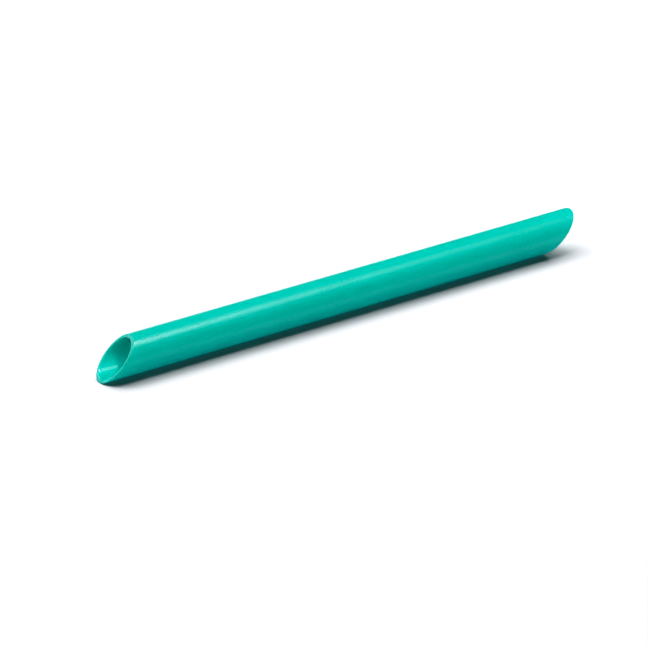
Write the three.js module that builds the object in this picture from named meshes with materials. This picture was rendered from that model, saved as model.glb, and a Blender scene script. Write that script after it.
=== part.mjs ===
// A straight one-piece suction tube, cut on the slant at both ends.
//
// Millimetres, +Z up. The tube lies along X on the plane z = 0, with the middle of its
// length over the origin. The two cuts are parallel: at the -X end the lower wall reaches
// furthest and the mouth faces up, and at the +X end the upper wall reaches furthest.

import * as THREE from "three";

// Driving dimensions.
const OVERALL_LENGTH = 152.4; // from tip to tip along the axis
const OUTER_DIAMETER = 11;
const WALL = 0.8;
const CUT_ANGLE_DEG = 44; // between a cut and the plane square to the axis
const OUTER_LIP_RADIUS = 0.25; // round where a cut meets the outer wall
const INNER_LIP_RADIUS = 0.2; // round where a cut meets the bore

// Mesh resolution.
const SIDES = 32; // a multiple of four, so that a flat faces each of +Y, -Y, +Z and -Z
const LIP_STEPS = 4; // straight steps along each quarter round

const TEAL = 0x00b29c;

const OUTER_RADIUS = OUTER_DIAMETER / 2;
const BORE_RADIUS = OUTER_RADIUS - WALL;
const CUT_SLOPE = Math.tan(THREE.MathUtils.degToRad(CUT_ANGLE_DEG));

// Half the length of the square-ended tube that leans over into the slant-cut one. The
// lean carries each end out by the slope times the radius, less what the round takes off.
const HALF_SQUARE_LENGTH =
  OVERALL_LENGTH / 2 -
  CUT_SLOPE * (OUTER_RADIUS - OUTER_LIP_RADIUS) -
  OUTER_LIP_RADIUS * (Math.hypot(1, CUT_SLOPE) - 1);

// The wall of the square-ended tube, cut along its length: x is the distance from the
// axis and y the distance along it. It runs up the outer wall and back down the bore,
// with a quarter round at each of the four corners.
function wallSection() {
  const quarter = Math.PI / 2;
  const outerCentre = OUTER_RADIUS - OUTER_LIP_RADIUS;
  const boreCentre = BORE_RADIUS + INNER_LIP_RADIUS;
  const outerEnd = HALF_SQUARE_LENGTH - OUTER_LIP_RADIUS;
  const boreEnd = HALF_SQUARE_LENGTH - INNER_LIP_RADIUS;
  return new THREE.Path()
    .absarc(outerCentre, -outerEnd, OUTER_LIP_RADIUS, -quarter, 0)
    .absarc(outerCentre, outerEnd, OUTER_LIP_RADIUS, 0, quarter)
    .absarc(boreCentre, boreEnd, INNER_LIP_RADIUS, quarter, 2 * quarter)
    .absarc(boreCentre, -boreEnd, INNER_LIP_RADIUS, 2 * quarter, 3 * quarter)
    .closePath();
}

// The round wall as a prism whose flats, and not its corners, measure the stated
// diameters, turned by half a side so that it rests on a flat.
function squareEndedTube() {
  const side = (2 * Math.PI) / SIDES;
  const cornerShare = 1 / Math.cos(side / 2);
  const stepsPerHalfTurn = LIP_STEPS / 2; // an arc takes twice the number that it is given
  const profile = wallSection()
    .getPoints(stepsPerHalfTurn)
    .map((point) => new THREE.Vector2(point.x * cornerShare, point.y));
  const alongY = new THREE.LatheGeometry(profile, SIDES, side / 2);
  return alongY.rotateZ(-Math.PI / 2);
}

// Leaning the tube along X slides its walls along themselves, so they stay round, and
// tilts both of its ends to the angle of the cut.
function slantCutTube() {
  const lean = new THREE.Matrix4().makeShear(0, 0, 0, 0, CUT_SLOPE, 0);
  return squareEndedTube().applyMatrix4(lean);
}

const tealPlastic = new THREE.MeshStandardMaterial({
  color: TEAL,
  roughness: 0.45,
  metalness: 0,
});

const suctionTube = new THREE.Mesh(slantCutTube(), tealPlastic);
suctionTube.name = "suction_tube";
suctionTube.position.z = OUTER_RADIUS;

const part = new THREE.Group();
part.add(suctionTube);

export default part;
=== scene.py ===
import math

import bpy
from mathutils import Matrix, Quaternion, Vector


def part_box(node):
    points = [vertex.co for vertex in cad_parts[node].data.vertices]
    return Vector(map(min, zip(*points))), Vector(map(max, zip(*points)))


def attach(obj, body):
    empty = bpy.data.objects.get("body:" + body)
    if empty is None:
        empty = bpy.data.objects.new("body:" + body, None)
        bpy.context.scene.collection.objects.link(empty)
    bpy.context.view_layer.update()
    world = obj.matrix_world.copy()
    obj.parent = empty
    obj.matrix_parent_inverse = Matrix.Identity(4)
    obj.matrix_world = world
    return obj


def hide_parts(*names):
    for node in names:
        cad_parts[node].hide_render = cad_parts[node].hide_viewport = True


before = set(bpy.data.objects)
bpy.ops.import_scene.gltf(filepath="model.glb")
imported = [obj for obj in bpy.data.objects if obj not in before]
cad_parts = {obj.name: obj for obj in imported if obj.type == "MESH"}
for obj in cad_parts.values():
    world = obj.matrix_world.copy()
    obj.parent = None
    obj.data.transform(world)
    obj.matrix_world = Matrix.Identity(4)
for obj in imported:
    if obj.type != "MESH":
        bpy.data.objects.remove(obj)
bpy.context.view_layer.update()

# One suction tube, lying along X on a pale floor. Metres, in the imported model's frame.

MM = 0.001

# The tube. Its length and outside diameter are the CAD node's.
NODE = "suction_tube"
BODY = "root"
WALL = 0.8 * MM
CUT_SLOPE = math.tan(math.radians(44))
OUTER_LIP_RADIUS = 0.25 * MM
INNER_LIP_RADIUS = 0.2 * MM

# The visible mesh.
SIDES = 180
LIP_STEPS = 6
WALL_STATIONS = 48
LIP_GUARDS = (0.15 * MM, 0.6 * MM)  # loops beside each lip that keep the wall's shading true
BAKE_STRIPS = 3  # strips that each wall is laid out in, so that its texture is nearly square
BAKE_MARGIN = 0.02  # share of its strip that stays free on each side

# The plastic.
DARK_TEAL = (0.0, 0.44, 0.355, 1)
LIGHT_TEAL = (0.0, 0.56, 0.465, 1)
OUTER_TRANSLUCENCY = 0.15  # on the outside, where the bore has 1
BORE_SKIN = 0.1 * MM  # how far into the wall the bore's look (painted shade, smoother finish, translucency) holds before it fades over the lip
CUT_SKIN = 0.05 * MM  # how far back from a slant cut the cut's painted highlight and glow holds
WEAR_AND_SHEEN_WIDTH = 1.4 * MM  # how far back from a cut the edge wear and its painted highlight reach
WEAR_AND_SHEEN_FULL = 0.1 * MM  # how far back they are at their strongest

# The camera, turned about its own line of sight by the roll.
AIM = Vector((-6.45, 0.0, -2.17)) * MM
AZIMUTH = math.radians(-30.04)
ELEVATION = math.radians(24.04)
ROLL = math.radians(-3.18)
DISTANCE = 0.933
LENS_MM = 188.9
SENSOR_MM = 36.0

# The studio. The tone curve maps scene values to shown ones.
STUDIO_RADIUS = 2.0
FLOOR_HALF_SIZE = 1.2
FLOOR_GREY = (0.42, 0.434, 0.455, 1)  # lit until it looks white
BACKDROP = 1.11  # how bright the camera sees the world
AMBIENT = 0.01  # and how bright it is to everything else
TONE_CURVE = ((0.02, 0.0), (0.1, 0.055), (0.3, 0.25), (0.5, 0.485), (0.75, 0.77), (1.0, 1.0))


def tube_sizes():
    """Outer radius, bore radius and half the length that the tube has before it is leaned over."""
    low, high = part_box(NODE)
    outer = (high.z - low.z) / 2
    lean = CUT_SLOPE * (outer - OUTER_LIP_RADIUS)
    round_share = OUTER_LIP_RADIUS * (math.hypot(1, CUT_SLOPE) - 1)
    half_length = (high.x - low.x) / 2 - lean - round_share
    return outer, outer - WALL, half_length


def quarter_round(along, radius_at, size, start_degrees):
    """Points (distance along the axis, distance from it) of a quarter round, both ends included."""
    points = []
    for step in range(LIP_STEPS + 1):
        angle = math.radians(start_degrees + 90 * step / LIP_STEPS)
        points.append((along + size * math.cos(angle), radius_at + size * math.sin(angle)))
    return points


def wall_stations(start, end):
    """Distances along a wall between its two lips, with guard loops near each."""
    direction = 1 if end > start else -1
    near = [start + direction * guard for guard in LIP_GUARDS]
    far = [end - direction * guard for guard in reversed(LIP_GUARDS)]
    steps = [near[-1] + (far[0] - near[-1]) * i / WALL_STATIONS for i in range(1, WALL_STATIONS)]
    return near + steps + far


def wall_profiles():
    """The outer profile and the bore profile, each from mid-land to mid-land, running along +X.

    Each is a list of (distance along the axis, distance from it), before the lean.
    """
    outer, bore, half = tube_sizes()
    middle = (outer - OUTER_LIP_RADIUS + bore + INNER_LIP_RADIUS) / 2

    outer_end = half - OUTER_LIP_RADIUS
    outer_centre = outer - OUTER_LIP_RADIUS
    outer_profile = [(-half, middle)]
    outer_profile += reversed(quarter_round(-outer_end, outer_centre, OUTER_LIP_RADIUS, 90))
    outer_profile += [(along, outer) for along in wall_stations(-outer_end, outer_end)]
    outer_profile += reversed(quarter_round(outer_end, outer_centre, OUTER_LIP_RADIUS, 0))
    outer_profile += [(half, middle)]

    bore_end = half - INNER_LIP_RADIUS
    bore_centre = bore + INNER_LIP_RADIUS
    bore_profile = [(-half, middle)]
    bore_profile += quarter_round(-bore_end, bore_centre, INNER_LIP_RADIUS, 180)
    bore_profile += [(along, bore) for along in wall_stations(-bore_end, bore_end)]
    bore_profile += quarter_round(bore_end, bore_centre, INNER_LIP_RADIUS, 270)
    bore_profile += [(half, middle)]
    return outer_profile, bore_profile


def ring(along, radius, axis_height):
    """One loop of the leaned tube, turning from +Y through +Z."""
    points = []
    for side in range(SIDES):
        angle = 2 * math.pi * side / SIDES
        rise = radius * math.sin(angle)
        points.append((along + CUT_SLOPE * rise, radius * math.cos(angle), axis_height + rise))
    return points


def travelled(profile):
    """How far along a profile each of its points is, from 0 to 1."""
    lengths = [0.0]
    for (x0, y0), (x1, y1) in zip(profile, profile[1:]):
        lengths.append(lengths[-1] + math.hypot(x1 - x0, y1 - y0))
    return [length / lengths[-1] for length in lengths]


def bake_place(share_along, share_round, strip, column):
    """A point's place in the bake layout: two columns of strips, with a margin round each strip."""
    inside = 1 - 2 * BAKE_MARGIN
    u = (column + BAKE_MARGIN + inside * (share_along * BAKE_STRIPS - strip)) / 2
    v = (strip + BAKE_MARGIN + inside * share_round) / BAKE_STRIPS
    return u, v


def make_tube():
    """The tube as one closed smooth mesh: the outer wall with its lips, then the bore with its own."""
    axis_height = tube_sizes()[0]
    outer_profile, bore_profile = wall_profiles()
    loops = outer_profile + bore_profile[1:-1]
    vertices = [point for along, radius in loops for point in ring(along, radius, axis_height)]
    outer_loops = list(range(len(outer_profile)))
    bore_loops = [0] + list(range(len(outer_profile), len(loops))) + [len(outer_profile) - 1]
    walls = ((outer_profile, outer_loops), (bore_profile, bore_loops))

    faces = []
    places = []
    for column, (profile, loop_ids) in enumerate(walls):
        shares = travelled(profile)
        for (loop_a, share_a), (loop_b, share_b) in zip(
            zip(loop_ids, shares), zip(loop_ids[1:], shares[1:])
        ):
            strip = min(int((share_a + share_b) / 2 * BAKE_STRIPS), BAKE_STRIPS - 1)
            for side in range(SIDES):
                following = (side + 1) % SIDES
                corners = [
                    (loop_a * SIDES + side, share_a, side),
                    (loop_a * SIDES + following, share_a, side + 1),
                    (loop_b * SIDES + following, share_b, side + 1),
                    (loop_b * SIDES + side, share_b, side),
                ]
                if column == 0:
                    corners.reverse()
                faces.append([vertex for vertex, _, _ in corners])
                places += [bake_place(share, turn / SIDES, strip, column) for _, share, turn in corners]

    mesh = bpy.data.meshes.new("tube")
    mesh.from_pydata(vertices, [], faces)
    layout = mesh.uv_layers.new(name="OFBake")
    layout.data.foreach_set("uv", [value for place in places for value in place])
    mesh.shade_smooth()
    tube = bpy.data.objects.new("tube", mesh)
    bpy.context.scene.collection.objects.link(tube)
    return tube


def make_floor():
    """A plain floor under the tube."""
    half = FLOOR_HALF_SIZE
    mesh = bpy.data.meshes.new("floor")
    corners = [(-half, -half, 0), (half, -half, 0), (half, half, 0), (-half, half, 0)]
    mesh.from_pydata(corners, [], [(0, 1, 2, 3)])
    material = bpy.data.materials.new("floor_white")
    material.use_nodes = True
    shader = material.node_tree.nodes["Principled BSDF"]
    shader.inputs["Base Color"].default_value = FLOOR_GREY
    shader.inputs["Roughness"].default_value = 0.9
    shader.inputs["Specular IOR Level"].default_value = 0.0
    mesh.materials.append(material)
    floor = bpy.data.objects.new("floor", mesh)
    bpy.context.scene.collection.objects.link(floor)
    return floor


def add_node(tree, kind, inputs, **settings):
    """A new node. An input that is given a socket is linked to it, and any other is set."""
    node = tree.nodes.new(kind)
    for name, value in settings.items():
        setattr(node, name, value)
    for key, value in inputs.items():
        if isinstance(value, bpy.types.NodeSocket):
            tree.links.new(value, node.inputs[key])
        else:
            node.inputs[key].default_value = value
    return node


def calc(tree, operation, *values):
    return add_node(tree, "ShaderNodeMath", dict(enumerate(values)), operation=operation).outputs[0]


def weighted_sum(tree, start, *terms):
    """start plus each (value, weight) pair's product."""
    total = start
    for value, weight in terms:
        total = calc(tree, "MULTIPLY_ADD", value, weight, total)
    return total


def fade(tree, value, low, high):
    """0 up to low, 1 from high on, and a smooth step between."""
    inputs = {"Value": value, "From Min": low, "From Max": high}
    return add_node(tree, "ShaderNodeMapRange", inputs, interpolation_type="SMOOTHSTEP").outputs[0]


def noise(tree, place, size, stretch=1.0, detail=2.0):
    """Noise about 0, within about 0.5 of it, with features of this size, drawn out along the tube."""
    scale = (1 / (size * stretch), 1 / size, 1 / size)
    scaled = add_node(tree, "ShaderNodeVectorMath", {0: place, 1: scale}, operation="MULTIPLY")
    inputs = {"Vector": scaled.outputs[0], "Scale": 1.0, "Detail": detail}
    texture = add_node(tree, "ShaderNodeTexNoise", inputs)
    return calc(tree, "SUBTRACT", texture.outputs[0], 0.5)


def place_masks(tree, place):
    """Whether a point is in the bore, on a slant cut and near one, each from 0 to 1."""
    outer, bore, half = tube_sizes()
    parts = add_node(tree, "ShaderNodeSeparateXYZ", {0: place}).outputs
    height = calc(tree, "SUBTRACT", parts[2], outer)
    from_axis = calc(tree, "POWER", weighted_sum(tree, 0.0, (parts[1], parts[1]), (height, height)), 0.5)
    along = calc(tree, "ABSOLUTE", weighted_sum(tree, parts[0], (height, -CUT_SLOPE)))
    in_bore = calc(tree, "SUBTRACT", 1.0, fade(tree, from_axis, bore + BORE_SKIN, bore + INNER_LIP_RADIUS))
    on_cut = fade(tree, along, half - OUTER_LIP_RADIUS, half - CUT_SKIN)
    near_edge = fade(tree, along, half - WEAR_AND_SHEEN_WIDTH, half - WEAR_AND_SHEEN_FULL)
    return in_bore, on_cut, near_edge


def make_material():
    """Teal plastic: fine grain, faint draw lines, scuffs, rubbed edges, painted bore shade, painted light
    at the cuts.

    Each weight is how much its term adds to the tint, to the roughness or, in metres, to the
    height of the surface.
    """
    material = bpy.data.materials.new("teal_plastic")
    material.use_nodes = True
    tree = material.node_tree
    shader = tree.nodes["Principled BSDF"]
    place = add_node(tree, "ShaderNodeTexCoord", {}).outputs["Object"]
    in_bore, on_cut, near_edge = place_masks(tree, place)

    grain = noise(tree, place, 0.65 * MM, 1.0, 3.0)
    peel = noise(tree, place, 1.7 * MM, 1.3, 1.0)
    lines = noise(tree, place, 0.5 * MM, 60.0, 2.0)
    scuffs = fade(tree, noise(tree, place, 0.45 * MM, 18.0, 3.0), 0.14, 0.3)
    mottle = noise(tree, place, 3.0 * MM, 2.0, 3.0)
    smudges = noise(tree, place, 9.0 * MM, 1.6, 3.0)
    # A lighter, smoother band in patches near each cut: edge wear, and its lighter tint is partly a
    # painted highlight.
    rubbed_and_sheen = calc(tree, "MULTIPLY", near_edge, fade(tree, mottle, -0.12, 0.2))

    tint = weighted_sum(tree, 0.5, (mottle, 0.22), (smudges, 0.22), (lines, 0.20), (grain, 0.10))
    # The in_bore term paints shade: it darkens the bore, though its plastic is the outer wall's.
    # The on_cut term paints a highlight and glow on the cut faces: light they catch and pass through the
    # thin wall.
    tint = weighted_sum(tree, tint, (on_cut, 0.12), (rubbed_and_sheen, 0.14), (in_bore, -0.45))
    ramp = add_node(tree, "ShaderNodeValToRGB", {0: tint})
    ramp.color_ramp.elements[0].color = DARK_TEAL
    ramp.color_ramp.elements[1].color = LIGHT_TEAL
    tree.links.new(ramp.outputs[0], shader.inputs["Base Color"])

    roughness = weighted_sum(tree, 0.31, (smudges, 0.12), (grain, 0.20), (scuffs, 0.10))
    roughness = weighted_sum(tree, roughness, (in_bore, -0.11), (rubbed_and_sheen, -0.05))
    tree.links.new(roughness, shader.inputs["Roughness"])

    height = weighted_sum(tree, 0.0, (grain, 0.062 * MM), (peel, 0.012 * MM), (lines, 0.006 * MM))
    height = weighted_sum(tree, height, (scuffs, -0.004 * MM))
    height = calc(tree, "MULTIPLY", height, weighted_sum(tree, 1.0, (in_bore, -0.7)))
    bump = add_node(tree, "ShaderNodeBump", {"Height": height, "Distance": 1.0, "Strength": 1.0})
    tree.links.new(bump.outputs[0], shader.inputs["Normal"])

    translucency = weighted_sum(tree, OUTER_TRANSLUCENCY, (in_bore, 1 - OUTER_TRANSLUCENCY))
    tree.links.new(translucency, shader.inputs["Subsurface Weight"])

    shader.inputs["Specular IOR Level"].default_value = 0.28
    shader.inputs["Subsurface Radius"].default_value = (0.5, 3.0, 3.0)
    shader.inputs["Subsurface Scale"].default_value = 1.4 * MM
    return material


def softbox(
    name, angle_degrees, ends, spread_degrees, radiance, subject, shadow_of,
    color=(1, 1, 1), diffuse=True, glossy=True,
):
    """A softbox parallel to the tube, STUDIO_RADIUS from it, that lights one subject.

    The angle is up from the horizon in front, ends are its limits along X, and the spread is
    how much of the sky it takes up across the tube. Only shadow_of casts shadows in its
    light. Without diffuse it gives only reflections, and without glossy it gives none.
    """
    angle = math.radians(angle_degrees)
    out = Vector((0, -math.cos(angle), math.sin(angle)))
    light = bpy.data.lights.new(name, "AREA")
    light.shape = "RECTANGLE"
    light.size = ends[1] - ends[0]
    light.size_y = 2 * STUDIO_RADIUS * math.tan(math.radians(spread_degrees / 2))
    light.energy = math.pi * light.size * light.size_y * radiance
    light.color = color
    lamp = bpy.data.objects.new(name, light)
    lamp.location = out * STUDIO_RADIUS + Vector((sum(ends) / 2, 0, 0))
    lamp.rotation_euler = (math.pi / 2 - angle, 0, 0)
    lamp.visible_diffuse = diffuse
    lamp.visible_glossy = glossy
    lamp.light_linking.receiver_collection = subject
    lamp.light_linking.blocker_collection = shadow_of
    bpy.context.scene.collection.objects.link(lamp)


def group(name, piece):
    """A collection that names what a light falls on."""
    collection = bpy.data.collections.new(name)
    collection.objects.link(piece)
    return collection


def make_lights(tube, floor):
    """Separate lights for the tube and for the floor, and a white backdrop.

    The floor blocks none of them, so the tube's under light shines up through it.
    """
    tube_only = group("lit_tube", tube)
    floor_only = group("lit_floor", floor)
    # Name, angle, ends, spread, radiance, what it lights and what casts shadows in it.
    softbox("shine", 76, (0.28, 0.58), 14, 106.0, tube_only, tube_only, diffuse=False)
    softbox("gleam", 155, (-1.3, -0.6), 16, 4.0, tube_only, tube_only, diffuse=False)
    softbox("back_shine", 128, (-2.0, 0.1), 14, 7.0, tube_only, tube_only, diffuse=False)
    softbox("key", 73, (0.15, 0.70), 17, 37.5, tube_only, tube_only, glossy=False)
    softbox("top", 110, (-0.5, 0.4), 20, 10.0, tube_only, tube_only, glossy=False)
    softbox("rim", 175, (-1.2, 1.2), 10, 0.8, tube_only, tube_only)
    softbox("under", -80, (-1.2, 1.2), 10, 7.4, tube_only, tube_only, (0.25, 0.93, 1.13), glossy=False)
    softbox("floor_high", 124.5, (-1.0, 2.6), 23, 12.7, floor_only, tube_only)
    softbox("floor_low", 98, (-1.0, 2.6), 30, 5.7, floor_only, tube_only)
    softbox("floor_fill", 20, (-1.2, 1.2), 20, 1.6, floor_only, tube_only, (1.0, 0.5, 0.45))
    world = bpy.data.worlds.new("studio")
    world.use_nodes = True
    background = world.node_tree.nodes["Background"]
    background.inputs["Color"].default_value = (1, 1, 1, 1)
    seen = add_node(world.node_tree, "ShaderNodeLightPath", {}).outputs["Is Camera Ray"]
    strength = weighted_sum(world.node_tree, AMBIENT, (seen, BACKDROP - AMBIENT))
    world.node_tree.links.new(strength, background.inputs["Strength"])
    bpy.context.scene.world = world


def set_tone():
    """The contrast of a studio camera: a raised black point and a gentle S, on scene values."""
    view = bpy.context.scene.view_settings
    view.view_transform = "Standard"
    view.use_curve_mapping = True
    curve = view.curve_mapping.curves[3]
    curve.points[0].location = TONE_CURVE[0]
    curve.points[1].location = TONE_CURVE[-1]
    for point in TONE_CURVE[1:-1]:
        curve.points.new(*point)
    view.curve_mapping.update()


def make_camera():
    """The photo's viewpoint."""
    back = Vector(
        (
            math.sin(AZIMUTH) * math.cos(ELEVATION),
            -math.cos(AZIMUTH) * math.cos(ELEVATION),
            math.sin(ELEVATION),
        )
    )
    lens = bpy.data.cameras.new("camera")
    lens.lens = LENS_MM
    lens.sensor_width = SENSOR_MM
    lens.clip_start = 0.01
    camera = bpy.data.objects.new("camera", lens)
    camera.location = AIM + back * DISTANCE
    camera.rotation_mode = "QUATERNION"
    level = (-back).to_track_quat("-Z", "Y")
    sight_axis = Vector((0, 0, 1))
    camera.rotation_quaternion = level @ Quaternion(sight_axis, ROLL)
    bpy.context.scene.collection.objects.link(camera)
    bpy.context.scene.camera = camera


tube = make_tube()
tube.data.materials.append(make_material())
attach(tube, BODY)
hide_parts(NODE)
floor = make_floor()
make_lights(tube, floor)
make_camera()
set_tone()
